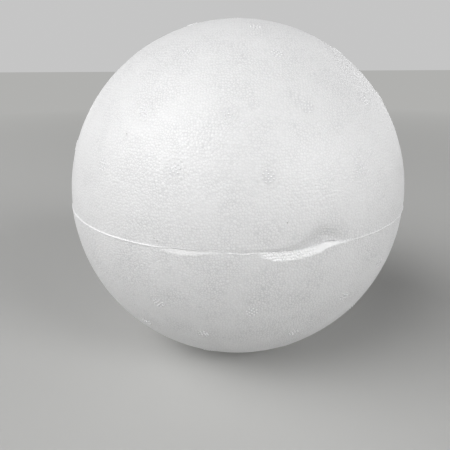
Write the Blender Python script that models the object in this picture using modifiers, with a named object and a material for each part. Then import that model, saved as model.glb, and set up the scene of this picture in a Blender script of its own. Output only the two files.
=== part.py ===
"""Moulded polystyrene ball, 250 mm across, in one solid piece.

Two half moulds meet at the ball's equator and leave their marks there: a thin raised line of
flash, and a small step where one half mould stood to the side of the other. Steam vents in the
mould leave small raised round pads in rings round both poles. A dent lies on the seam, where the
upper half is pressed in and the edge of the lower half slumped and split.

The frame is the mould's: the origin is the centre of the ball, +Z runs through the upper pole,
and the seam is the plane z = 0. Longitudes are counted from -Y, the side with the dent on its
right, and are positive towards +X. All lengths are in metres.
"""

import math
from typing import NamedTuple

import bmesh
import bpy
from mathutils import Matrix, Vector

# The ball
BALL_DIAMETER = 0.250
RING_STEPS = 72
ARC_STEPS = 18

# The seam: the flash is this thick at its root, stands this far out and ends in a flat land,
# and the upper half stands this far to the right of the lower half
FLASH_THICKNESS = 0.0007
FLASH_REACH = 0.0005
FLASH_LAND = 0.0003
MOULD_SHIFT = 0.0004

# The dent: pressed in deepest at its middle, with a longer run to the left than to the right
DENT_LONGITUDE_DEG = 25.5
DENT_DEPTH = 0.0052
DENT_RUN_LEFT = 0.0175
DENT_RUN_RIGHT = 0.0150
DENT_HEIGHT = 0.0150
DENT_DROP = 0.0032

# The slumped edge that leads into the dent from the left
SLUMP_LONGITUDE_DEG = 17.5
SLUMP_DEPTH = 0.0024
SLUMP_RUN = 0.0220
SLUMP_HEIGHT = 0.0090
SLUMP_DROP = 0.0070

# The split at the bottom of the dent
SPLIT_LENGTH = 0.0095
SPLIT_HEIGHT = 0.0006
SPLIT_DEPTH = 0.0020

# The finer net of faces round the dent
NET_MARGIN = 0.0040
NET_CUTS = 3
NET_SHORTEST_EDGE = 0.0020

# The pads that the vents leave: their edge slopes by PAD_EDGE each side of their diameter
PAD_DIAMETER = 0.0078
PAD_RISE = 0.0005
PAD_EDGE = 0.0004
PAD_ROOT = 0.0012
PAD_SIDES = 12

# The foam, and the angle between two faces past which their edge is sharp
FOAM_COLOUR = (0.86, 0.86, 0.87, 1.0)
FOAM_ROUGHNESS = 0.55
SHARP_EDGE_DEG = 35.0


class VentRing(NamedTuple):
    """One ring of vents round a pole.

    latitude: of the vents on the far side, in degrees.
    front: latitude and longitude of each vent on the near side, in degrees.
    behind: how many vents are spread evenly over the far side.
    arc: the longitudes where the far side starts and ends, in degrees.
    """

    latitude: float
    front: tuple
    behind: int
    arc: tuple = (80.0, 280.0)


VENT_RINGS = (
    VentRing(90.0, ((90.0, 0.0),), 0),
    VentRing(72.0, ((74.5, -71.0), (69.5, 16.5)), 2),
    VentRing(55.0, ((55.5, -23.5), (54.5, 18.5), (56.0, 77.0)), 4),
    VentRing(36.0, ((34.5, -30.5), (35.0, -2.5), (36.5, 22.5), (37.0, 51.0), (36.5, 76.0)), 6),
    VentRing(19.5, ((20.0, -73.5), (19.0, -42.0), (20.5, -16.5), (19.0, 8.0), (19.0, 36.5)), 7),
    VentRing(-19.5, ((-19.0, -23.5), (-19.5, 4.5), (-19.5, 36.0), (-13.0, 50.5)), 7),
    VentRing(-33.0, ((-34.0, -35.5), (-31.5, -11.0), (-33.5, 21.5), (-32.0, 49.5)), 7),
    VentRing(-53.0, ((-52.5, -15.0),), 7, (7.5, 322.5)),
    VentRing(-72.0, (), 4, (-20.0, 340.0)),
    VentRing(-90.0, ((-90.0, 0.0),), 0),
)

RADIUS = BALL_DIAMETER / 2
HALF_FLASH = FLASH_THICKNESS / 2


def clear_scene():
    """Remove every object that the file opened with."""
    for found in list(bpy.data.objects):
        bpy.data.objects.remove(found, do_unlink=True)


def new_collection(name):
    """A new collection in the scene."""
    collection = bpy.data.collections.new(name)
    bpy.context.scene.collection.children.link(collection)
    return collection


def new_object(name, mesh, collection):
    """A new object that holds the mesh, in the collection."""
    made = bpy.data.objects.new(name, mesh)
    collection.objects.link(made)
    return made


def foam_material():
    """White expanded polystyrene with a satin skin."""
    material = bpy.data.materials.new("white_foam")
    material.use_nodes = True
    shader = material.node_tree.nodes["Principled BSDF"]
    shader.inputs["Base Color"].default_value = FOAM_COLOUR
    shader.inputs["Roughness"].default_value = FOAM_ROUGHNESS
    shader.inputs["Metallic"].default_value = 0.0
    material.diffuse_color = FOAM_COLOUR
    return material


def direction(latitude_deg, longitude_deg):
    """Unit vector from the ball's centre through a latitude and longitude."""
    latitude = math.radians(latitude_deg)
    longitude = math.radians(longitude_deg)
    level = math.cos(latitude)
    return Vector((level * math.sin(longitude), -level * math.cos(longitude), math.sin(latitude)))


def half_centre(upper):
    """Centre of the sphere that one half of the mould is cut to."""
    side = 1.0 if upper else -1.0
    return Vector((side * MOULD_SHIFT / 2, 0.0, side * HALF_FLASH))


def ball_profile():
    """Half section of the ball, from the upper pole down its outer side to the lower pole.

    It is a quarter circle, the flash, and a quarter circle, each half lifted off the seam by half
    the flash's thickness.
    """
    quarter = []
    for step in range(ARC_STEPS + 1):
        angle = math.radians(90.0 * (1 - step / ARC_STEPS))
        across = 0.0 if step == 0 else RADIUS * math.cos(angle)
        quarter.append((across, RADIUS * math.sin(angle) + HALF_FLASH))
    edge = (RADIUS + FLASH_REACH, FLASH_LAND / 2)
    upper = quarter + [edge]
    lower = [(across, -height) for across, height in reversed(upper)]
    return upper + lower


def turned_ball(collection):
    """The ball as it leaves a perfect mould: its half section turned round Z."""
    points = ball_profile()
    outline = bpy.data.meshes.new("ball_outline")
    rows = [(across, 0.0, height) for across, height in points]
    outline.from_pydata(rows, [(i, i + 1) for i in range(len(rows) - 1)], [])
    lathe = new_object("ball_outline", outline, collection)
    screw = lathe.modifiers.new("turned", "SCREW")
    screw.axis = "Z"
    screw.angle = math.radians(360.0)
    screw.steps = RING_STEPS
    screw.render_steps = RING_STEPS
    screw.use_merge_vertices = True
    screw.merge_threshold = 0.00001
    evaluated = lathe.evaluated_get(bpy.context.evaluated_depsgraph_get())
    mesh = bpy.data.meshes.new_from_object(evaluated)
    bpy.data.objects.remove(lathe, do_unlink=True)
    bpy.data.meshes.remove(outline)
    return mesh


def along_seam(point, longitude_deg):
    """Distance along the seam from a longitude to a point, positive to the right."""
    longitude = math.atan2(point.x, -point.y)
    turn = longitude - math.radians(longitude_deg)
    turn = (turn + math.pi) % (2 * math.pi) - math.pi
    return turn * RADIUS


def swell(distance, run):
    """1 at distance 0, falling smoothly to 0 at the end of the run."""
    if abs(distance) >= run:
        return 0.0
    return 0.5 * (1 + math.cos(math.pi * distance / run))


def press_depth(point):
    """How far the dent and the slumped edge move a point of the surface towards the axis."""
    height_run = DENT_HEIGHT if point.z > 0 else DENT_DROP
    away = along_seam(point, DENT_LONGITUDE_DEG)
    run = DENT_RUN_LEFT if away < 0 else DENT_RUN_RIGHT
    dent = DENT_DEPTH * swell(away, run) * swell(point.z, height_run)
    height_run = SLUMP_HEIGHT if point.z > 0 else SLUMP_DROP
    away = along_seam(point, SLUMP_LONGITUDE_DEG)
    slump = SLUMP_DEPTH * swell(away, SLUMP_RUN) * swell(point.z, height_run)
    return dent + slump


def near_dent(point):
    """Whether a point lies on the stretch of surface that the dent and the slump reach."""
    over = max(DENT_HEIGHT, SLUMP_HEIGHT) + NET_MARGIN
    under = max(DENT_DROP, SLUMP_DROP) + NET_MARGIN
    if not -under < point.z < over:
        return False
    from_dent = along_seam(point, DENT_LONGITUDE_DEG)
    in_dent = -DENT_RUN_LEFT - NET_MARGIN < from_dent < DENT_RUN_RIGHT + NET_MARGIN
    in_slump = abs(along_seam(point, SLUMP_LONGITUDE_DEG)) < SLUMP_RUN + NET_MARGIN
    return in_dent or in_slump


def lay_on_mould(vertex):
    """Move a corner sideways until it lies on the sphere that its half of the mould is cut to."""
    height = abs(vertex.co.z) - HALF_FLASH
    from_axis = math.hypot(vertex.co.x, vertex.co.y)
    if 0 <= height < RADIUS and from_axis > 0:
        stretch = math.sqrt(RADIUS ** 2 - height ** 2) / from_axis
        vertex.co.x *= stretch
        vertex.co.y *= stretch


def refine_net(body):
    """Cut the faces near the dent into a finer net, and lay the new corners on the mould."""
    edges = set()
    for face in body.faces:
        if near_dent(face.calc_center_median()):
            edges.update(edge for edge in face.edges if edge.calc_length() > NET_SHORTEST_EDGE)
    bmesh.ops.subdivide_edges(body, edges=list(edges), cuts=NET_CUTS, use_grid_fill=True)
    for vertex in body.verts:
        lay_on_mould(vertex)


def set_mould_halves(body):
    """Move the upper and the lower half apart sideways, as the two moulds stood."""
    for vertex in body.verts:
        vertex.co.x += half_centre(vertex.co.z > 0).x


def press_dent(body):
    """Move the surface in towards the axis where it is dented."""
    for vertex in body.verts:
        depth = press_depth(vertex.co)
        if depth > 0:
            level = Vector((vertex.co.x, vertex.co.y, 0.0))
            vertex.co -= level.normalized() * depth


def vent_places():
    """Latitude and longitude of every vent, in degrees."""
    places = []
    for ring in VENT_RINGS:
        places.extend(ring.front)
        start, end = ring.arc
        for place in range(ring.behind):
            longitude = start + (end - start) * (place + 0.5) / ring.behind
            places.append((ring.latitude, longitude))
    return places


def vent_pads(collection):
    """All pads as one tool: short discs that stand on the ball, with a sloping edge."""
    pads = bmesh.new()
    foot = RADIUS - PAD_ROOT
    for latitude, longitude in vent_places():
        out = direction(latitude, longitude)
        centre = half_centre(latitude > 0)
        turned = out.to_track_quat("Z", "Y").to_matrix().to_4x4()
        middle = centre + out * (foot + RADIUS + PAD_RISE) / 2
        bmesh.ops.create_cone(
            pads,
            cap_ends=True,
            segments=PAD_SIDES,
            radius1=PAD_DIAMETER / 2 + PAD_EDGE,
            radius2=PAD_DIAMETER / 2 - PAD_EDGE,
            depth=PAD_ROOT + PAD_RISE,
            matrix=Matrix.Translation(middle) @ turned,
        )
    mesh = bpy.data.meshes.new("vent_pads")
    pads.to_mesh(mesh)
    pads.free()
    shade_round(mesh)
    return hide_tool(new_object("vent_pads", mesh, collection))


def seam_split(collection):
    """The split as a tool: a thin lens that lies in the seam at the bottom of the dent."""
    lens = bmesh.new()
    out = direction(0.0, DENT_LONGITUDE_DEG)
    bottom = RADIUS - press_depth(out * RADIUS)
    size = Matrix.Diagonal((SPLIT_LENGTH / 2, SPLIT_DEPTH, SPLIT_HEIGHT / 2, 1.0))
    turned = Matrix.Rotation(math.radians(DENT_LONGITUDE_DEG), 4, "Z")
    place = Matrix.Translation(out * bottom)
    bmesh.ops.create_uvsphere(
        lens, u_segments=16, v_segments=8, radius=1.0, matrix=place @ turned @ size
    )
    mesh = bpy.data.meshes.new("seam_split")
    lens.to_mesh(mesh)
    lens.free()
    shade_round(mesh)
    return hide_tool(new_object("seam_split", mesh, collection))


def shade_round(mesh):
    """Shade a mesh as round, but for the edges that are meant to be sharp."""
    mesh.shade_smooth()
    mesh.set_sharp_from_angle(angle=math.radians(SHARP_EDGE_DEG))


def hide_tool(tool):
    """Keep a cutting or joining tool out of the finished part."""
    tool.hide_render = True
    tool.display_type = "WIRE"
    return tool


def add_boolean(body, name, operation, tool):
    """Join or cut the body with a tool."""
    boolean = body.modifiers.new(name, "BOOLEAN")
    boolean.operation = operation
    boolean.solver = "EXACT"
    boolean.object = tool


def polystyrene_ball(parts, tools):
    """The whole ball: turned, set apart at the seam, dented, with its pads and its split."""
    mesh = turned_ball(tools)
    body = bmesh.new()
    body.from_mesh(mesh)
    refine_net(body)
    set_mould_halves(body)
    press_dent(body)
    body.to_mesh(mesh)
    body.free()
    mesh.name = "polystyrene_ball"
    shade_round(mesh)
    ball = new_object("polystyrene_ball", mesh, parts)
    mesh.materials.append(foam_material())
    add_boolean(ball, "vent_pads", "UNION", vent_pads(tools))
    add_boolean(ball, "seam_split", "DIFFERENCE", seam_split(tools))
    return ball


def main():
    """Build the part in an empty scene."""
    clear_scene()
    parts = new_collection("polystyrene_ball")
    tools = new_collection("shaping_tools")
    polystyrene_ball(parts, tools)


main()
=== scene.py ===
"""Looks of a moulded polystyrene ball, laid out as a Blender add-on and run as a script.

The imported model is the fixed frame. The pieces made here are the ball's skin with its seam and
its dent, the marks of the steam vents, the loose beads along the slumped edge and a few specks.
Every piece is worked out on the ball's own form: two half spheres, set a little to the side of
each other, that meet at the flash in the plane z = 0. Longitude is 0 towards -Y and grows
towards +X. Lengths are in metres.
"""

import math
from typing import NamedTuple

import bpy
import numpy as np
from bpy.props import FloatProperty, FloatVectorProperty, PointerProperty
from bpy.types import Operator, Panel, PropertyGroup
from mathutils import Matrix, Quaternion, Vector


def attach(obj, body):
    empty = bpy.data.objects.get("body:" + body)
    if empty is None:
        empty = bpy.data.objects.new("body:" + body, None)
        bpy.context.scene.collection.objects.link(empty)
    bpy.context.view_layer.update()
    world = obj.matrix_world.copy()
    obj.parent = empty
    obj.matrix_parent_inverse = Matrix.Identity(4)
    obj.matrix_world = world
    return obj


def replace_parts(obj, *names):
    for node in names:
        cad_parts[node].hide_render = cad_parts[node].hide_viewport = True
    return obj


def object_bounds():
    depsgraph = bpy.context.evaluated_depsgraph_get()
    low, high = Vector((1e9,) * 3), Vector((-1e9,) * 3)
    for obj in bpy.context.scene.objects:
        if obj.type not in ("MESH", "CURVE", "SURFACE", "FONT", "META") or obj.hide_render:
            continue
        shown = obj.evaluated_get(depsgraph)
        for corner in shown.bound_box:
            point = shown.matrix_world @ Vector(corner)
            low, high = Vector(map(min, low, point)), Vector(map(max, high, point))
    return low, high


bl_info = {
    "name": "Polystyrene ball",
    "version": (1, 0, 0),
    "blender": (4, 5, 0),
    "location": "3D View > Sidebar > Foam Ball",
    "description": "Skin, vent marks and beads of a moulded polystyrene ball, and a plain stage",
    "category": "Object",
}

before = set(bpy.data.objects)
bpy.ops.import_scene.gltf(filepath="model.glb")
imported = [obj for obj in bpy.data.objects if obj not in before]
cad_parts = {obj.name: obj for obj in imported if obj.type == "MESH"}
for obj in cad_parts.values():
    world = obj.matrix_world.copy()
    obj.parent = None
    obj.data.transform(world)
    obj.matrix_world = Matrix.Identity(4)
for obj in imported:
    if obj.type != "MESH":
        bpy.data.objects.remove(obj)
CAD_LOW, CAD_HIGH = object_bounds()

NODE = "polystyrene_ball"
BODY = "root"
MM = 0.001
FULL_TURN = 2 * math.pi

# The net of the skin: columns round the ball, rows over each half and rows over the flash
SKIN_COLUMNS = 560
HALF_ROWS = 82
FLASH_ROWS = 15

# How many points a weight is summed over to space the lines of a net
WEIGHT_POINTS = 6001

# Waves that leave the skin a little uneven
WAVE_SEED = 11
WAVE_COUNT = 20
WAVE_LENGTHS = (14 * MM, 45 * MM)
WAVE_HEIGHT = 0.05 * MM

# Ripples along the flash, and how large a share of its strength they change
FLASH_SEED = 5
FLASH_WAVES = 48
FLASH_WAVE_TURNS = (20, 420)
FLASH_RIPPLE = 0.15

# How much of the flash stands at some longitudes in degrees, pressed flat along the dent
FLASH_AT = (-180.0, -120.0, -75.0, -22.0, -17.0, -7.0, -3.0, 4.0, 8.0, 21.0, 24.0, 28.0, 31.0,
            36.0, 80.0, 130.0, 180.0)
FLASH_FULL = (0.7, 0.85, 0.9, 0.9, 0.50, 0.30, 0.3, 0.35, 0.1, 0.1, 0.6, 0.6, 0.6,
              1.0, 0.9, 0.75, 0.7)


class VentRing(NamedTuple):
    """One ring of vents round a pole.

    latitude: of the vents on the far side, in degrees.
    front: latitude, longitude and turn of each vent on the near side, in degrees.
    behind: how many vents are spread evenly over the far side.
    arc: the longitudes where the far side starts and ends, in degrees.
    """

    latitude: float
    front: tuple
    behind: int
    arc: tuple = (80.0, 280.0)


VENT_RINGS = (
    VentRing(90.0, ((90.0, 0.0, 10.0),), 0),
    VentRing(72.0, ((75.0, -73.0, 30.0), (69.4, 14.9, 7.5)), 2),
    VentRing(55.0, ((55.0, -23.7, 15.0), (54.1, 18.2, 63.5), (55.6, 77.2, 40.0)), 4),
    VentRing(
        36.0,
        ((34.6, -30.6, 15.0), (34.8, -3.1, 39.5), (36.0, 22.3, 15.0),
         (36.6, 50.3, 30.0), (36.1, 76.0, 5.0)),
        6,
    ),
    VentRing(
        19.5,
        ((19.6, -73.4, 20.0), (18.7, -42.1, 15.0), (20.2, -16.6, 50.5),
         (18.8, 8.1, 63.5), (18.7, 36.0, 37.5)),
        7,
    ),
    VentRing(
        -19.5,
        ((-18.6, -23.3, 65.5), (-18.8, 4.6, 77.0), (-19.2, 35.2, 80.5), (-12.1, 49.6, 20.0)),
        7,
    ),
    VentRing(
        -33.0,
        ((-32.6, -34.8, 22.5), (-30.7, -10.9, 30.0), (-32.2, 20.7, 52.5), (-31.0, 49.0, 70.0)),
        7,
    ),
    VentRing(-53.0, ((-51.4, -14.7, 45.0),), 7, (7.5, 322.5)),
    VentRing(-72.0, (), 4, (-20.0, 340.0)),
    VentRing(-90.0, ((-90.0, 0.0, 0.0),), 0),
)
VENT_SEED = 3

# A surface slices the cells of a pattern in space, so they look smaller than their spacing
SLICED_CELL = 1.2

# The skin's beads: how far they stray from even places, how wide a cell's rim is, its share of
# the relief, and the squared distance from a bead's middle, in cells, where its dome ends
BEAD_STRAY = 0.8
RIM_WIDTH = 0.17
RIM_RELIEF = 0.35
DOME_FOOT = 0.45

# A cloud varies the painted shade in the grooves between the beads, from a least share at one
# value of it to the full at another
CLOUD = {"Scale": 55.0, "Detail": 3.0, "Roughness": 0.5}
CLOUD_SPAN = (0.35, 0.68)
LEAST_GROOVE_SHADE = 0.35

# Middle height of the belt where the beads are pressed flatter, how far off its edge starts and
# ends, and the share of the painted groove shade and of the relief that is left inside it
BELT_HEIGHT = 32 * MM
BELT_EDGE = (12 * MM, 50 * MM)
BELT_SHARE = 0.7

# Share of the relief that is left on a vent's pad
PAD_RELIEF = 0.25

# How far a bead's roughness lies from the skin's, from the glossiest bead to the dullest, how much
# rougher a bare bead is and how much smoother a pad
GLOSS_SPREAD = (-0.06, 0.08)
BARE_ROUGHER = 0.3
PAD_SMOOTHER = 0.08

# Share of the light that spreads inside the foam, and how far
GLOW_SHARE = 0.12
GLOW_DEPTH = 1.5 * MM

# Values between which most of a fine grain lies, and the relief of the grain on a bare bead
GRAIN_SPAN = (0.3, 0.7)
BEAD_GRAIN_RELIEF = {"Strength": 0.3, "Distance": 0.03 * MM}


class Grain(NamedTuple):
    """A fine grain in a matt material.

    scale and detail: of its noise.
    most: the largest share of the second colour that it brings in.
    roughness: of the material.
    """

    scale: float
    detail: float
    most: float
    roughness: float


BEAD_GRAIN = Grain(2600.0, 2.0, 0.25, 0.65)
SPECK_GRAIN = Grain(1500.0, 3.0, 0.5, 0.8)


class BallShape(PropertyGroup):
    """Sizes of the ball and of the seam that the mould leaves."""

    diameter: FloatProperty(
        name="Diameter", description="Across each half ball", default=0.250, unit="LENGTH"
    )
    flash_thickness: FloatProperty(
        name="Flash thickness", description="Between the two half moulds",
        default=0.7 * MM, unit="LENGTH"
    )
    flash_reach: FloatProperty(
        name="Flash reach", description="How far the flash stands out at most",
        default=0.40 * MM, unit="LENGTH"
    )
    mould_shift: FloatProperty(
        name="Mould shift", description="How far the upper half stands to the right of the lower",
        default=0.4 * MM, unit="LENGTH"
    )


class DentShape(PropertyGroup):
    """Sizes of the dent on the seam and of the edge that slumped with it."""

    longitude: FloatProperty(
        name="Longitude", description="Of the deepest point",
        default=math.radians(24.0), subtype="ANGLE"
    )
    upper_depth: FloatProperty(
        name="Upper depth", description="How deep the upper half is pressed in at the seam",
        default=4.2 * MM, unit="LENGTH"
    )
    lower_depth: FloatProperty(
        name="Lower depth", description="How deep the lower half is pressed in at the seam",
        default=1.9 * MM, unit="LENGTH"
    )
    seam_rise: FloatProperty(
        name="Seam rise", description="How far the seam is pushed up at most, in the dent",
        default=1.15 * MM, unit="LENGTH"
    )
    arch_height: FloatProperty(
        name="Arch height", description="Of the fold over the seam that bounds the dent",
        default=8.4 * MM, unit="LENGTH"
    )
    bevel_drop: FloatProperty(
        name="Bevel drop", description="How far under the seam the bare bevel reaches",
        default=6.4 * MM, unit="LENGTH"
    )
    wrinkle_pitch: FloatProperty(
        name="Wrinkle pitch", description="Between two wrinkles", default=2.2 * MM, unit="LENGTH"
    )
    wrinkle_height: FloatProperty(
        name="Wrinkle height", description="Of one wrinkle", default=0.15 * MM, unit="LENGTH"
    )
    split_longitude: FloatProperty(
        name="Split longitude", description="Middle of the split",
        default=math.radians(25.8), subtype="ANGLE"
    )
    split_run: FloatProperty(
        name="Split run", description="Half the length of the split",
        default=5.2 * MM, unit="LENGTH"
    )
    split_depth: FloatProperty(
        name="Split depth", description="Of the split", default=1.6 * MM, unit="LENGTH"
    )
    ledge_longitude: FloatProperty(
        name="Ledge longitude", description="Middle of the shorter slump on the left",
        default=math.radians(-11.5), subtype="ANGLE"
    )
    ledge_depth: FloatProperty(
        name="Ledge depth", description="Of the shorter slump", default=0.85 * MM, unit="LENGTH"
    )
    ledge_drop: FloatProperty(
        name="Ledge drop", description="How far under the seam the shorter slump reaches",
        default=4.1 * MM, unit="LENGTH"
    )


class VentShape(PropertyGroup):
    """Sizes of the mark that one steam vent leaves."""

    pad_diameter: FloatProperty(
        name="Pad", description="Across the raised pad", default=7.8 * MM, unit="LENGTH"
    )
    pad_rise: FloatProperty(
        name="Pad rise", description="Of the pad over the skin", default=0.08 * MM, unit="LENGTH"
    )
    collar_diameter: FloatProperty(
        name="Collar", description="Across the thin ring round the pad",
        default=12.1 * MM, unit="LENGTH"
    )
    collar_rise: FloatProperty(
        name="Collar rise", description="Of the thin ring", default=0.09 * MM, unit="LENGTH"
    )
    inner_circle: FloatProperty(
        name="Inner circle", description="Across the circle of the four inner pips",
        default=2.75 * MM, unit="LENGTH"
    )
    outer_circle: FloatProperty(
        name="Outer circle", description="Across the circle of the eight outer pips",
        default=6.25 * MM, unit="LENGTH"
    )
    pip_diameter: FloatProperty(
        name="Pip", description="Across one pip", default=1.25 * MM, unit="LENGTH"
    )
    pip_rise: FloatProperty(
        name="Pip rise", description="Of the tallest pip over its pad",
        default=0.42 * MM, unit="LENGTH"
    )


class FoamLook(PropertyGroup):
    """Colours and relief of the foam."""

    skin_colour: FloatVectorProperty(
        name="Skin", description="Moulded skin", default=(0.88, 0.88, 0.885),
        subtype="COLOR", min=0.0, max=1.0
    )
    # Painted shade: the groove colour darkens the skin between the beads, where shade falls; the
    # grey specks' grain also turns towards it
    groove_shade_and_speck_grey: FloatVectorProperty(
        name="Groove", description="Painted shade between two beads of the skin, and the grey of the specks' grain", default=(0.68, 0.68, 0.69),
        subtype="COLOR", min=0.0, max=1.0
    )
    bare_colour: FloatVectorProperty(
        name="Bare beads", description="Beads without a skin", default=(0.97, 0.97, 0.975),
        subtype="COLOR", min=0.0, max=1.0
    )
    # Painted shade: the vent pad is darker than the skin so that the gaps between its pips look
    # shaded
    pad_shade_colour: FloatVectorProperty(
        name="Vent pad", description="Smooth foam of a vent mark, darkened as painted shade between its pips", default=(0.80, 0.80, 0.81),
        subtype="COLOR", min=0.0, max=1.0
    )
    speck_colour: FloatVectorProperty(
        name="Specks", description="Grey specks", default=(0.50, 0.50, 0.49),
        subtype="COLOR", min=0.0, max=1.0
    )
    bead_size: FloatProperty(
        name="Bead size", description="Across one bead of the skin",
        default=1.95 * MM, unit="LENGTH"
    )
    roughness: FloatProperty(
        name="Roughness", description="Of the skin", default=0.34, min=0.0, max=1.0
    )
    relief: FloatProperty(
        name="Relief", description="Height of the beads' relief",
        default=0.15 * MM, unit="LENGTH"
    )
    tilt: FloatProperty(
        name="Tilt", description="How far the face of a bead leans away from the ball's form",
        default=0.06, min=0.0, max=1.0
    )


class StudioLook(PropertyGroup):
    """Floor, lamps and camera."""

    floor_colour: FloatVectorProperty(
        name="Floor", description="Plain pale floor", default=(0.52, 0.52, 0.51),
        subtype="COLOR", min=0.0, max=1.0
    )
    far_colour: FloatVectorProperty(
        name="Far floor", description="What the camera sees of the floor far behind the ball",
        default=(0.44, 0.44, 0.43), subtype="COLOR", min=0.0, max=1.0
    )
    backdrop_colour: FloatVectorProperty(
        name="Backdrop", description="What the camera sees beyond the floor",
        default=(0.56, 0.56, 0.56), subtype="COLOR", min=0.0, max=1.0
    )
    ambient: FloatProperty(
        name="Ambient", description="Even light all round, beside the lamps", default=0.0, min=0.0
    )
    focal_length: FloatProperty(
        name="Focal length", description="In millimetres, on a 36 mm wide sensor",
        default=36.0, min=1.0
    )


def direction(latitude, longitude):
    """Unit vectors from the ball's centre: east is the sine of the longitude, the front its cosine
    turned to -Y, both times the cosine of the latitude, and height is the latitude's sine."""
    level = np.cos(latitude)
    return np.stack(
        np.broadcast_arrays(
            level * np.sin(longitude), -level * np.cos(longitude), np.sin(latitude)
        ),
        axis=-1,
    )


def swell(distance, run):
    """1 at distance 0 and 0 from the end of the run on, along half a cosine wave."""
    share = np.clip(np.abs(distance) / run, 0.0, 1.0)
    return 0.5 * (1 + np.cos(math.pi * share))


def step_up(value, start, end):
    """0 before start, 1 after end, and a smooth cubic between them."""
    share = np.clip((value - start) / (end - start), 0.0, 1.0)
    return share * share * (3 - 2 * share)


def between(value, start, full, ease, end):
    """0 before start, 1 from full to ease and 0 after end, with a smooth cubic up and down."""
    return step_up(value, start, full) * (1 - step_up(value, ease, end))


def graded(start, end, count, weight):
    """Values from start to end, spaced by equal steps of the running total of the weight, so
    that they lie close together where the weight is large."""
    fine = np.linspace(start, end, WEIGHT_POINTS)
    dense = weight(fine)
    total = np.concatenate(([0.0], np.cumsum(0.5 * (dense[1:] + dense[:-1]))))
    return np.interp(np.linspace(0.0, total[-1], count), total, fine)


def smooth_curve(value, at, heights):
    """Heights read from a smooth curve through a few points: a cubic between each two, whose
    slope at a point is that of the line through its neighbours."""
    at = np.asarray(at, dtype=float)
    heights = np.asarray(heights, dtype=float)
    slope = np.gradient(heights, at)
    slope[[0, -1]] = 0.0
    value = np.clip(value, at[0], at[-1])
    piece = np.clip(np.searchsorted(at, value) - 1, 0, len(at) - 2)
    width = at[piece + 1] - at[piece]
    share = (value - at[piece]) / width
    rise = share * share * (3 - 2 * share)
    early = share * (1 - share) ** 2 * width * slope[piece]
    late = share ** 2 * (share - 1) * width * slope[piece + 1]
    return heights[piece] * (1 - rise) + heights[piece + 1] * rise + early + late


def waves(points):
    """Unevenness of the skin at points on the ball: a sum of plane waves with seeded
    directions, lengths and phases, scaled to the height of one wave."""
    random = np.random.default_rng(WAVE_SEED)
    heading = random.normal(size=(WAVE_COUNT, 3))
    heading /= np.linalg.norm(heading, axis=1)[:, None]
    length = random.uniform(*WAVE_LENGTHS, size=WAVE_COUNT)
    phase = random.uniform(0.0, FULL_TURN, size=WAVE_COUNT)
    turns = points @ (heading * (FULL_TURN / length)[:, None]).T + phase
    return WAVE_HEIGHT * np.sin(turns).sum(axis=-1) / math.sqrt(WAVE_COUNT)


def along_seam(longitude, middle, radius):
    """Distance along the seam from a middle longitude, positive to the right, with the turn
    wrapped to half a turn each way."""
    turn = (longitude - middle + math.pi) % FULL_TURN - math.pi
    return turn * radius


def flash_strength(longitude):
    """How much of the full flash stands at each longitude, from 0 to 1: a smooth curve round the
    ball, times a seeded sum of waves with whole numbers of turns, so that it closes on itself."""
    random = np.random.default_rng(FLASH_SEED)
    turns = random.integers(*FLASH_WAVE_TURNS, size=FLASH_WAVES)
    phase = random.uniform(0.0, FULL_TURN, size=FLASH_WAVES)
    size = 1 / np.sqrt(turns)
    angle = longitude[..., None] * turns + phase
    ripple = (np.sin(angle) * size).sum(axis=-1) / np.sqrt((size ** 2).sum())
    full = smooth_curve(np.degrees(longitude), FLASH_AT, FLASH_FULL)
    return full * np.clip(1 - FLASH_RIPPLE + FLASH_RIPPLE * ripple, 0.0, 1.0)


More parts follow.
